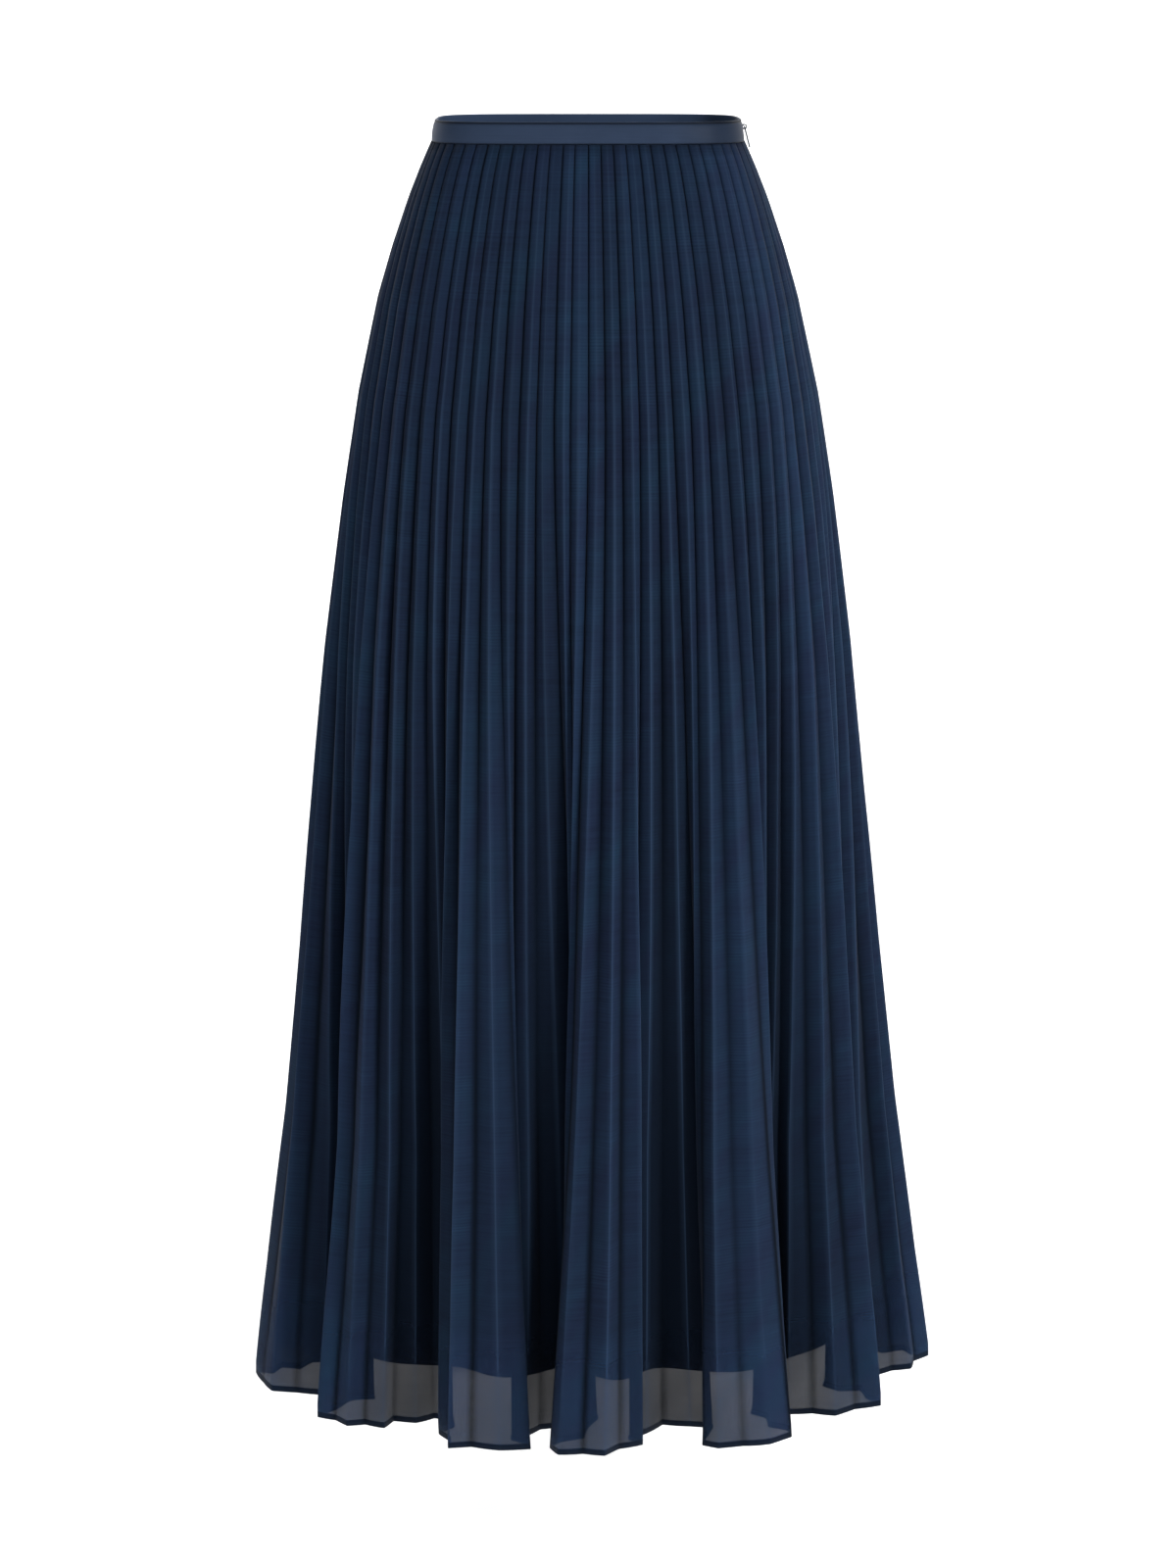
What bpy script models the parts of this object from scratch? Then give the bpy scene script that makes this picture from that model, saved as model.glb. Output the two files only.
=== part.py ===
# A long pleated skirt, worn with no wearer: a smooth waistband, a sheer outer skirt of
# narrow pressed pleats that swing into large folds at the hem, a plain lining a little
# shorter than the skirt, and a concealed zip in the left side seam.
# All sizes are millimetres until a mesh is made. The origin is the centre of the waist's
# top edge, the front faces -Y, and the wearer's left side is +X.

import math
from collections import namedtuple

import bpy
import numpy as np

MM = 0.001
SEAM_GAP = 0.3            # clear gap between neighbouring pieces

# waistband
BAND_HEIGHT = 16.0
BAND_WALL = 2.2
BAND_PROUD = 1.0          # the band's face stands out from the pleats' middle line
BAND_BULGE = 0.5          # and rounds out a little more at half its height
BAND_COLUMNS = 40         # per half
BAND_ROWS = 3

# outer skirt: 82 pleats, two panels to a pleat
PANELS = 164
SIDE_CREASE = 82          # the left side seam; the right side seam is crease 0
CENTRE_CREASE = 40        # the crease on the front's centre line
PANEL_AT_WAIST = 4.92
PANEL_AT_HEM = 19.8
SLANT_LENGTH = 985.0      # cut length below the waistband
CLOTH_WALL = 1.0
HEM_WALL = 1.8            # the narrow rolled hem is doubled
HEM_HEIGHT = 6.0
RING_STEPS = (0, 0.05, 0.12, 0.23, 0.37, 0.52, 0.67, 0.83, 1 - HEM_HEIGHT / SLANT_LENGTH, 1)
FOLD_START = 0.2          # share of the length above which there are no large folds
FOLD_GATHER = 1.2         # how fast pleats slide round into the folds
FOLD_DEEPEN = 1.5         # how fast the folds deepen
EASE = 0.05               # how much each crease is eased towards its neighbours
SHARPEST = 0.4            # largest zigzag at the hem, as a share of the panel's width
STEEPEST = 1.2            # largest zigzag where pleats are squeezed, as a share of their spacing

# lining
LINING_TOP = 8.0          # its top edge lies inside the waistband
LINING_LENGTH = 966.0     # its lower edge, below the waist's top
LINING_COLUMNS = 22       # per half
LINING_WAVE = 13.0        # height of the slow waves at its hem
LINING_WAVES = 10.4       # of them to a whole turn
LINING_WAVE_CREST = 9.0   # degrees round to the crest of one
LINING_WAVE_TOP = 60.0    # where they begin, below the waist's top
LINING_ZIP_OPENING = 10.4 # each edge stands back from the zip by this much
LINING_SLIT_END = 204.0   # where the slit for the zip ends
LINING_ROWS = (LINING_TOP, 17, 60, 130, LINING_SLIT_END, LINING_SLIT_END + 26, 350, 560, 770, LINING_LENGTH)

# concealed zip, in the left side seam
ZIP_LENGTH = 200.0
ZIP_ROWS = (1, 8, 16, 30, 60, 100, 150, ZIP_LENGTH)
TAPE_WIDTH = 9.0
TAPE_WALL = 0.8
TAPE_APART = 1.8          # between the two tapes' edges
COIL_WIDTH = 4.0
COIL_THICK = 1.4
SLIDER_DROP = 8.5         # the slider's centre below the waist's top
SLIDER_DEEP = 3.4
SLIDER_WIDE = 6.4
SLIDER_HIGH = 9.0
STEM_THICK = 1.1
EYE_INNER = 1.1           # the stem's eye, round the pull's bar
EYE_OUTER = 2.0
PIVOT_OUT = 118.6         # the pull's pivot, from the skirt's centre line
PIVOT_DROP = 6.5          # and below the waist's top
PULL_LENGTH = 16.0
PULL_WIDTH = 4.2
PULL_THICK = 1.0
PULL_WINDOW = 2.2         # width of the window that the stem passes through
PULL_PLAY = 0.6           # between the stem's eye and the window's foot
PULL_TIP = 1.4            # height of the tapered tip
PULL_LEAN = 15.0          # degrees outwards from straight down, along the cloth's flare

# An outline's half width, half depth and squareness at a height below the waist's top:
# 2 is an oval, and larger values are flatter in front and behind with rounder corners.
Section = namedtuple("Section", "below half_width half_depth squareness")
OUTLINE = (
    Section(0, 114.0, 94.0, 4.0),
    Section(16, 116.5, 96.5, 4.0),
    Section(30, 123.0, 102.0, 3.9),
    Section(59, 134.5, 108.5, 3.7),
    Section(96, 147.0, 115.0, 3.5),
    Section(133, 158.0, 121.5, 3.3),
    Section(208, 174.0, 131.5, 3.1),
    Section(284, 186.0, 140.0, 3.0),
    Section(400, 202.0, 154.0, 2.8),
    Section(520, 215.5, 168.0, 2.6),
    Section(640, 230.0, 183.0, 2.4),
    Section(770, 247.5, 199.0, 2.2),
    Section(900, 268.0, 217.0, 2.1),
    Section(985, 284.0, 231.0, 2.0),
)
LINING_OUTLINE = (
    Section(8, 114.0, 94.0, 4.0),
    Section(17, 114.6, 94.6, 4.0),
    Section(59, 129.0, 103.0, 3.7),
    Section(133, 149.0, 113.0, 3.3),
    Section(208, 164.0, 122.0, 3.1),
    Section(284, 172.5, 127.0, 3.0),
    Section(400, 181.0, 129.0, 3.0),
    Section(520, 187.0, 130.0, 3.0),
    Section(640, 192.0, 131.0, 3.0),
    Section(770, 197.0, 132.0, 3.0),
    Section(966, 206.0, 133.0, 3.0),
)

# One row for each large fold at the hem, from the right side seam round the front to the
# left and back: the panels up its rise, along its front and down its fall, then its valley,
# the middle of the rise, its left corner, its crest, its right corner and the middle of the
# fall. Each place is degrees round from the front's centre line, and millimetres inside the
# outline.
Fold = namedtuple("Fold", "rise front fall valley up left crest right down")
FOLDS = (
    Fold(5, 4, 3, (-75, 62), (-72.6, 26), (-71.5, -1), (-64, -5), (-60, 25), (-58, 40)),
    Fold(3, 4, 4, (-54.5, 53), (-54.8, 26), (-52, -6), (-47, 0), (-42.5, 15), (-40.5, 40)),
    Fold(4, 3, 6, (-34, 62), (-31.5, 28), (-26.7, 2), (-20.5, 8), (-10.5, 13), (-15.5, 46)),
    Fold(4, 5, 3, (3, 80), (-2, 46), (-9.5, 21), (1, 6), (11.5, 29), (11.5, 44)),
    Fold(4, 4, 4, (20, 66), (29, 46), (22, 14), (29.5, 0), (39.5, -5), (40.5, 28)),
    Fold(3, 4, 4, (42.5, 56), (45, 50), (47, 40), (51.5, 12), (58, -3), (62, 25)),
    Fold(3, 3, 4, (61, 58), (67.6, 38), (72, 18), (75, 8), (78.5, 2), (80.6, 22)),
    Fold(4, 4, 3, (81, 54), (85.1, 33), (88, 18), (95, 12), (101, 14), (105, 31)),
    Fold(4, 4, 4, (109, 48), (111.1, 28), (115, 8), (122, -2), (130, 4), (134.5, 29)),
    Fold(3, 4, 4, (139, 54), (143.1, 31), (146, 8), (152, -4), (158, 5), (161.4, 38)),
    Fold(5, 4, 4, (166, 72), (168.6, 38), (173, 3), (180, -4), (187, 6), (190.4, 36)),
    Fold(4, 4, 4, (195, 66), (199, 36), (202, 6), (208, 0), (215, 4), (219.6, 31)),
    Fold(4, 5, 4, (223, 58), (225.9, 31), (230, 4), (238, -3), (245, 8), (249.5, 26)),
    Fold(3, 4, 4, (254, 44), (258.1, 29), (261, 14), (267, 14), (274, 20), (279, 40)),
)

# name: base colour, roughness
FINISHES = {
    "satin": ((0.036, 0.052, 0.098), 0.36),
    "chiffon": ((0.016, 0.026, 0.050), 0.75),
    "lining": ((0.010, 0.015, 0.028), 0.6),
    "zip tape": ((0.012, 0.018, 0.034), 0.8),
    "zip metal": ((0.020, 0.026, 0.045), 0.35),
}


def outline_at(sections, below):
    """Half width, half depth and squareness at a height, straight between the sections."""
    heights, *columns = zip(*sections)
    return [np.interp(below, heights, column) for column in columns]


def reach(wide, deep, power, turn):
    """Distance from the centre to an outline: (|sin/wide|^power + |cos/deep|^power)^(-1/power)."""
    return (np.abs(np.sin(turn) / wide) ** power + np.abs(np.cos(turn) / deep) ** power) ** (-1 / power)


def plan_points(radius, turn):
    """Plan points at a radius and a turn measured from the front's centre line towards +X."""
    return np.stack([radius * np.sin(turn), -radius * np.cos(turn)], axis=-1)


def arc_turns(sizes, shares):
    """Turns at the given shares of an outline's length, counted from the front's centre line."""
    fine = np.radians(np.linspace(-360, 360, 5761))
    steps = np.hypot(*np.diff(plan_points(reach(*sizes, fine), fine), axis=0).T)
    length = np.concatenate([[0], np.cumsum(steps)])
    length -= np.interp(0, fine, length)
    whole = 2 * np.interp(math.pi, fine, length)
    return np.interp(np.asarray(shares) * whole, length, fine)


def hem_folds():
    """Turn and depth of each crease at the hem: a parabola through each wall's and front's three places."""
    turns, depths = [], []
    for row, following in zip(FOLDS, FOLDS[1:] + FOLDS[:1]):
        next_turn = following.valley[0] + (360 if following is FOLDS[0] else 0)
        valley, up, left, crest, right, down = (np.array(place, float) for place in row[3:])
        end = np.array((next_turn, following.valley[1]), float)
        for first, middle, last, count in ((valley, up, left, row.rise), (left, crest, right, row.front),
                                           (right, down, end, row.fall)):
            share = (np.arange(count) / count)[:, None]
            place = (first * (1 - share) * (1 - 2 * share) + 4 * middle * share * (1 - share)
                     + last * share * (2 * share - 1))
            turns.extend(place[:, 0])
            depths.extend(place[:, 1])
    turns, depths = np.array(turns), np.array(depths)
    before, after = np.roll(turns, 1), np.roll(turns, -1)
    before[0] -= 360
    after[-1] += 360
    turns = turns * (1 - 2 * EASE) + EASE * (before + after)
    depths = depths * (1 - 2 * EASE) + EASE * (np.roll(depths, 1) + np.roll(depths, -1))
    return np.radians(turns), depths


def pleat_ring(share, below):
    """Plan of the creases at a share of the slant length: the folds' line, then the zigzag across it."""
    sizes = outline_at(OUTLINE, below)
    creases = np.arange(PANELS)
    even = arc_turns(sizes, (creases - CENTRE_CREASE) / PANELS)
    hem_turn, hem_depth = hem_folds()
    fall = max(share - FOLD_START, 0) / (1 - FOLD_START)
    turn = even + (hem_turn - even) * fall ** FOLD_GATHER
    middle = plan_points(reach(*sizes, turn) - hem_depth * fall ** FOLD_DEEPEN, turn)
    panel = PANEL_AT_WAIST + (PANEL_AT_HEM - PANEL_AT_WAIST) * share
    chord = np.hypot(*(np.roll(middle, -1, 0) - middle).T)
    swing = np.sqrt(np.maximum(panel ** 2 - chord ** 2, (0.12 * panel) ** 2))
    swing = np.minimum(np.minimum(swing, panel * (1 - (1 - SHARPEST) * fall)), STEEPEST * chord)
    swing = (swing + np.roll(swing, 1)) / 2
    along = np.roll(middle, -1, 0) - np.roll(middle, 1, 0)
    along /= np.hypot(*along.T)[:, None]
    outward = np.stack([along[:, 1], -along[:, 0]], axis=1)
    side = np.where(creases % 2 == 0, -0.5, 0.5)
    return middle + outward * (side * swing)[:, None]


def pleated_grid():
    """Crease points, ring by ring: each ring hangs so that every crease keeps its cut length."""
    below = np.full(PANELS, BAND_HEIGHT + SEAM_GAP)
    plan = pleat_ring(0, below[0])
    rings = [np.column_stack([plan, -below])]
    for before, share in zip(RING_STEPS, RING_STEPS[1:]):
        length = (share - before) * SLANT_LENGTH
        guess = below.mean() + length
        for _ in range(3):
            plan = pleat_ring(share, guess)
            across = np.hypot(*(plan - rings[-1][:, :2]).T)
            drop = np.sqrt(np.maximum(length ** 2 - across ** 2, (0.3 * length) ** 2))
            guess = (below + drop).mean()
        below = below + drop
        rings.append(np.column_stack([plan, -below]))
    return np.array(rings)


def walls_of_ring(ring, thickness, closed=True):
    """Outer and inner points of a ring, moved out and in along each corner's mitre."""
    plan = ring[:, :2]
    after = np.roll(plan, -1, 0) - plan
    if not closed:
        after[-1] = after[-2]
    after /= np.hypot(*after.T)[:, None]
    before = np.roll(after, 1, 0)
    if not closed:
        before[0] = after[0]
    normal_after = np.stack([after[:, 1], -after[:, 0]], axis=1)
    normal_before = np.stack([before[:, 1], -before[:, 0]], axis=1)
    mitre = normal_after + normal_before
    mitre /= np.maximum((mitre * normal_after).sum(1), 0.6)[:, None]
    move = np.column_stack([mitre * thickness / 2, np.zeros(len(ring))])
    return ring + move, ring - move


def pull_back(column, neighbour, gap):
    """Move a panel's edge towards its neighbouring column, to leave a seam gap."""
    step = neighbour - column
    return column + step * (gap / np.linalg.norm(step[:, :2], axis=1))[:, None] * (1, 1, 0)


def shell(name, outer, inner, finish, gaps=(SEAM_GAP * 0.7, SEAM_GAP * 0.7)):
    """A closed wall between two grids of rows and columns; its side edges stand back by the gaps."""
    outer, inner = outer.copy(), inner.copy()
    for grid in (outer, inner):
        first = pull_back(grid[:, 0], grid[:, 1], gaps[0])
        last = pull_back(grid[:, -1], grid[:, -2], gaps[1])
        grid[:, 0], grid[:, -1] = first, last
    rows, columns = outer.shape[:2]
    index = np.arange(rows * columns).reshape(rows, columns)
    a, b, c, d = index[:-1, :-1], index[:-1, 1:], index[1:, 1:], index[1:, :-1]
    front = np.concatenate([np.stack([a, d, c], -1).reshape(-1, 3), np.stack([a, c, b], -1).reshape(-1, 3)])
    back = front[:, ::-1] + rows * columns
    rim = np.concatenate([index[:, 0], index[-1, 1:], index[-2::-1, -1], index[0, -2:0:-1]])
    ahead = np.roll(rim, -1)
    inner_rim, inner_ahead = rim + rows * columns, ahead + rows * columns
    edge = np.concatenate([np.stack([rim, inner_rim, inner_ahead], -1),
                           np.stack([rim, inner_ahead, ahead], -1)])
    points = np.concatenate([outer.reshape(-1, 3), inner.reshape(-1, 3)])
    return add_piece(name, points, np.concatenate([front, back, edge]).tolist(), finish)


def add_piece(name, points, faces, finish):
    mesh = bpy.data.meshes.new(name)
    mesh.from_pydata((np.asarray(points) * MM).tolist(), [], faces)
    mesh.update()
    piece = bpy.data.objects.new(name, mesh)
    bpy.context.scene.collection.objects.link(piece)
    mesh.materials.append(finish)
    return piece


def halves(outer, inner):
    """The front half and the back half of a closed ring grid, split at the side seams."""
    front = slice(0, SIDE_CREASE + 1)
    back = np.append(np.arange(SIDE_CREASE, PANELS), 0)
    return (outer[:, front], inner[:, front]), (outer[:, back], inner[:, back])


def make_skirt(finish):
    grid = pleated_grid()
    outer, inner = [], []
    for share, ring in zip(RING_STEPS, grid):
        thickness = HEM_WALL if share == 1 else CLOTH_WALL
        out, into = walls_of_ring(ring, thickness)
        outer.append(out)
        inner.append(into)
    front, back = halves(np.array(outer), np.array(inner))
    shell("skirt_front", *front, finish)
    shell("skirt_back", *back, finish)


def side_turns(columns, back):
    """Even turns over the front half, from the right side round to the left, or on over the back."""
    start = math.pi / 2 if back else -math.pi / 2
    return start + np.linspace(0, math.pi, columns + 1)


def make_waistband(finish):
    below = np.linspace(0, BAND_HEIGHT, BAND_ROWS)[:, None]
    wide, deep, power = outline_at(OUTLINE, below)
    bulge = BAND_PROUD + BAND_BULGE * np.sin(np.pi * below / BAND_HEIGHT)
    zip_gap = (TAPE_APART - SEAM_GAP) / 2
    for name, back in (("waistband_front", False), ("waistband_back", True)):
        turn = side_turns(BAND_COLUMNS, back)
        grids = []
        for offset in (0, -BAND_WALL):
            radius = reach(wide + bulge + offset, deep + bulge + offset, power, turn[None, :])
            plan = plan_points(radius, np.broadcast_to(turn, radius.shape))
            grids.append(np.dstack([plan, np.broadcast_to(-below, radius.shape)]))
        gaps = (SEAM_GAP / 2 + zip_gap, SEAM_GAP / 2) if back else (SEAM_GAP / 2, SEAM_GAP / 2 + zip_gap)
        shell(name, *grids, finish, gaps)


def lining_radius(below, turn, offset=0.0):
    """The lining's section: its outline, with slow waves that grow towards the hem and fade at the sides."""
    wide, deep, power = outline_at(LINING_OUTLINE, below)
    low = np.clip((below - LINING_WAVE_TOP) / (LINING_LENGTH - LINING_WAVE_TOP), 0, 1)
    wave = np.cos(LINING_WAVES * (turn - math.radians(LINING_WAVE_CREST))) * np.cos(turn) ** 2
    return reach(wide + offset, deep + offset, power, turn) + LINING_WAVE * low ** 2 * wave


def make_lining(finish):
    below = np.array(LINING_ROWS)
    opening = np.where(below <= LINING_SLIT_END, LINING_ZIP_OPENING, SEAM_GAP / 2)
    for name, back in (("lining_front", False), ("lining_back", True)):
        turn = side_turns(LINING_COLUMNS, back)
        grids = []
        for offset in (0, -CLOTH_WALL):
            radius = np.array([lining_radius(height, turn, offset) for height in below])
            plan = plan_points(radius, np.broadcast_to(turn, radius.shape))
            grids.append(np.dstack([plan, np.broadcast_to(-below[:, None], radius.shape)]))
        edges = (opening, SEAM_GAP / 2) if back else (SEAM_GAP / 2, opening)
        shell(name, *grids, finish, edges)


def seam_face(below):
    """Distance from the centre to a face just inside the cloth of the left side seam."""
    crease = pleated_grid()[:, SIDE_CREASE]
    pleats = np.interp(below, -crease[:, 2], crease[:, 0]) - CLOTH_WALL
    band = outline_at(OUTLINE, below)[0] + BAND_PROUD - BAND_WALL
    return np.where(below < BAND_HEIGHT, np.minimum(band, pleats), pleats) - SEAM_GAP


def strip(name, below, face, sides, thick, finish):
    """A strip down the side seam between two Y values, bent round the skirt's outline."""
    across = np.linspace(sides[0], sides[1], 3)
    _, deep, power = (column[:, None] for column in outline_at(OUTLINE, below))
    bend = (1 - np.abs(across[None, :] / deep) ** power) ** (1 / power)
    grids = []
    for offset in (0, -thick):
        x = (face + offset)[:, None] * bend
        y = np.broadcast_to(across[None, :], x.shape)
        grids.append(np.dstack([x, y, np.broadcast_to(-below[:, None], x.shape)]))
    return shell(name, *grids, finish, (0, 0))


def make_zip(cloth, metal):
    below = np.array(ZIP_ROWS)
    face = seam_face(below)
    near, far = TAPE_APART / 2, TAPE_APART / 2 + TAPE_WIDTH
    strip("zip_tape_front", below, face, (-far, -near), TAPE_WALL, cloth)
    strip("zip_tape_back", below, face, (near, far), TAPE_WALL, cloth)
    slider_foot = SLIDER_DROP + SLIDER_HIGH / 2
    run = np.append(slider_foot + SEAM_GAP, below[below > slider_foot + 1])
    coil_face = seam_face(run) - TAPE_WALL - SEAM_GAP
    strip("zip_coil", run, coil_face, (-COIL_WIDTH / 2, COIL_WIDTH / 2), COIL_THICK, metal)
    slider_face = float(seam_face(np.array([SLIDER_DROP - SLIDER_HIGH / 2])).min()) - TAPE_WALL - SEAM_GAP
    make_slider(slider_face, metal)
    make_pull(metal)


def make_slider(face, finish):
    """A block behind the tapes, with a flat stem out between them that ends in an eye."""
    block = box_piece("zip_slider", (face - SLIDER_DEEP, -SLIDER_WIDE / 2, -SLIDER_DROP - SLIDER_HIGH / 2),
                      (face, SLIDER_WIDE / 2, -SLIDER_DROP + SLIDER_HIGH / 2), finish)
    arm = PIVOT_OUT - face + 1.0
    angle = np.linspace(0, 2 * math.pi, 24, endpoint=False)
    inwards = np.where(np.cos(angle) < 0, arm / np.maximum(-np.cos(angle), 1e-6), np.inf)
    beside = np.where(np.cos(angle) < 0, EYE_OUTER / np.maximum(np.abs(np.sin(angle)), 1e-6), EYE_OUTER)
    outline = np.minimum(inwards, beside)
    loops = []
    for y in (-STEM_THICK / 2, STEM_THICK / 2):
        for radius in (outline, np.full_like(angle, EYE_INNER)):
            loops.append(np.column_stack([PIVOT_OUT + radius * np.cos(angle), np.full_like(angle, y),
                                          -PIVOT_DROP + radius * np.sin(angle)]))
    count = len(angle)
    faces = []
    for low, high in ((0, 1), (1, 3), (3, 2), (2, 0)):
        for k in range(count):
            after = (k + 1) % count
            faces.append((low * count + k, high * count + k, high * count + after, low * count + after))
    stem = add_piece("zip_stem_guide", np.concatenate(loops), faces, finish)
    stem.hide_render = True
    stem.display_type = "WIRE"
    join = block.modifiers.new("stem", "BOOLEAN")
    join.operation = "UNION"
    join.solver = "EXACT"
    join.object = stem


def make_pull(finish):
    """A flat tab with a window at its top: the bar above the window turns in the stem's eye."""
    lean = math.radians(PULL_LEAN)
    bar = PULL_THICK / 2
    down = (-bar, bar, EYE_OUTER + PULL_PLAY, PULL_LENGTH / 2, PULL_LENGTH - PULL_TIP, PULL_LENGTH)
    width = (1.0, 1.0, 1.0, 1.1, 1.15, 0.7)
    columns = (-PULL_WIDTH / 2, -PULL_WINDOW / 2, PULL_WINDOW / 2, PULL_WIDTH / 2)
    window = (1, 1)
    points = []
    for out in (bar, -bar):
        for fall, scale in zip(down, width):
            for y in columns:
                x = PIVOT_OUT + fall * math.sin(lean) + out * math.cos(lean)
                z = -PIVOT_DROP - fall * math.cos(lean) + out * math.sin(lean)
                points.append((x, y * scale, z))
    layer = len(down) * len(columns)
    cells = [(r, c) for r in range(len(down) - 1) for c in range(len(columns) - 1) if (r, c) != window]
    faces = []
    for r, c in cells:
        a = r * len(columns) + c
        corners = (a, a + 1, a + 1 + len(columns), a + len(columns))
        faces.append(tuple(reversed(corners)))
        faces.append(tuple(k + layer for k in corners))
        around = ((r - 1, c), (r, c + 1), (r + 1, c), (r, c - 1))
        for k, beside in enumerate(around):
            if beside not in cells:
                start, end = corners[k], corners[(k + 1) % 4]
                faces.append((start, end, end + layer, start + layer))
    return add_piece("zip_pull", points, faces, finish)


def box_piece(name, low, high, finish):
    corners = [(x, y, z) for x in (low[0], high[0]) for y in (low[1], high[1]) for z in (low[2], high[2])]
    faces = [(0, 1, 3, 2), (4, 6, 7, 5), (0, 4, 5, 1), (2, 3, 7, 6), (0, 2, 6, 4), (1, 5, 7, 3)]
    return add_piece(name, corners, faces, finish)


def make_finish(name):
    colour, roughness = FINISHES[name]
    finish = bpy.data.materials.new(name)
    finish.use_nodes = True
    shader = finish.node_tree.nodes["Principled BSDF"]
    shader.inputs["Base Color"].default_value = (*colour, 1.0)
    shader.inputs["Roughness"].default_value = roughness
    shader.inputs["Metallic"].default_value = 0.6 if name == "zip metal" else 0.0
    return finish


def main():
    for old in list(bpy.data.objects):
        bpy.data.objects.remove(old, do_unlink=True)
    finishes = {name: make_finish(name) for name in FINISHES}
    make_waistband(finishes["satin"])
    make_skirt(finishes["chiffon"])
    make_lining(finishes["lining"])
    make_zip(finishes["zip tape"], finishes["zip metal"])


main()
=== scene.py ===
import math

import bpy
import numpy as np
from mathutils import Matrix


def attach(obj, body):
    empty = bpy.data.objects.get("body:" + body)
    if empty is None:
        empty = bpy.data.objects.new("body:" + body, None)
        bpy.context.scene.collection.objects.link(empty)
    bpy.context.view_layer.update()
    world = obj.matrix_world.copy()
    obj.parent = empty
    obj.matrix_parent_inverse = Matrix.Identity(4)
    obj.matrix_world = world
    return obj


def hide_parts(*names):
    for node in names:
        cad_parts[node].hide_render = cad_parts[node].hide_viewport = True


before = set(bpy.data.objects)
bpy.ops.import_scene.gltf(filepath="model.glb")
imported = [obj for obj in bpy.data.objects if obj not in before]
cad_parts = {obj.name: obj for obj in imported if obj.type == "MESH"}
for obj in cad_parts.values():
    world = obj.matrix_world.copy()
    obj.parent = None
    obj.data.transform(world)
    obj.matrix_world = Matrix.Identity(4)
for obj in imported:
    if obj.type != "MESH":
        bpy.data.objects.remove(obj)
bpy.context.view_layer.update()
mm = 0.001
print("frame loaded:", len(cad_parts), "nodes")


class Wire:
    # wraps a shader socket, so that sums on values read as plain expressions
    def __init__(self, tree, socket=None):
        self.tree = tree
        self.socket = socket

    def node(self, kind, settings=None, inputs=None, output=0):
        made = self.tree.nodes.new(kind)
        for name, value in (settings or {}).items():
            if name == "stops":
                ramp = made.color_ramp
                ramp.elements[0].position, ramp.elements[0].color = value[0]
                ramp.elements[-1].position, ramp.elements[-1].color = value[-1]
                for place, colour in value[1:-1]:
                    ramp.elements.new(place).color = colour
            else:
                setattr(made, name, value)
        for name, value in (inputs or {}).items():
            if isinstance(value, Wire):
                self.tree.links.new(value.socket, made.inputs[name])
            else:
                made.inputs[name].default_value = value
        return Wire(self.tree, made.outputs[output])

    def maths(self, operation, *values, clamp=False):
        links = dict(enumerate(values))
        return self.node("ShaderNodeMath", {"operation": operation, "use_clamp": clamp}, links)

    def __add__(self, other):
        return self.maths("ADD", self, other)

    __radd__ = __add__

    def __sub__(self, other):
        return self.maths("SUBTRACT", self, other)

    def __rsub__(self, other):
        return self.maths("SUBTRACT", other, self)

    def __mul__(self, other):
        return self.maths("MULTIPLY", self, other)

    __rmul__ = __mul__

    def __pow__(self, other):
        return self.maths("POWER", self, other)


def newMaterial(name, fixed):
    # fixed: Principled sockets that stay the same all over the surface
    material = bpy.data.materials.new(name)
    material.use_nodes = True
    tree = material.node_tree
    shader = tree.nodes["Principled BSDF"]
    for socket, value in fixed.items():
        shader.inputs[socket].default_value = value
    return material, Wire(tree), shader


def feed(wire, shader, socket, value):
    wire.tree.links.new(value.socket, shader.inputs[socket])


def mixColour(wire, factor, first, second, blend="MIX"):
    return wire.node("ShaderNodeMix", {"data_type": "RGBA", "blend_type": blend},
                     {0: factor, 6: first, 7: second}, 2)


def rgba(red, green, blue):
    return (red, green, blue, 1.0)


def parts(wire, vector):
    split = wire.node("ShaderNodeSeparateXYZ", inputs={0: vector}).socket.node
    return Wire(wire.tree, split.outputs[0]), Wire(wire.tree, split.outputs[1])


def attribute(wire, name):
    return wire.node("ShaderNodeAttribute", {"attribute_name": name}, output=2)


chiffonLook = {
    "violet": rgba(0.0108, 0.0205, 0.0520),
    "teal": rgba(0.0076, 0.0222, 0.0470),
    # painted highlight: this lighter colour is laid along the pressed edges
    "ridge": rgba(0.0280, 0.0530, 0.1050),
    # painted shade: this near-black colour is laid in the inner folds and deep recesses; the rolled hem's
    # dark line uses it too
    "valley": rgba(0.0008, 0.0034, 0.0090),
    "alpha": 0.80,           # of each face; the shell has two, so one layer covers 0.96
    "ridgeHighlight": 0.55,
    "valleyShade": 0.96,
    "recessShade": 0.92,
    "tone": 0.73,
    "weft": 0.0023,          # metres between the coarser weft threads
    "relief": 0.00004,       # metres, height of the weft's bump
    "hemFrom": 0.9800,       # metres down the cloth where the rolled hem's dark line starts
    "hemSoft": 0.0008,
    "hems": 0.8,
    "sheerFrom": 0.888,      # metres down where light starts to come through
    "sheerOver": 0.04,       # metres over which it turns sheer
    "sheer": 0.36,           # painted light: how much lighter the colour is made there
    "backed": 0.3,           # how much denser it looks with the lining close behind
}


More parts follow.
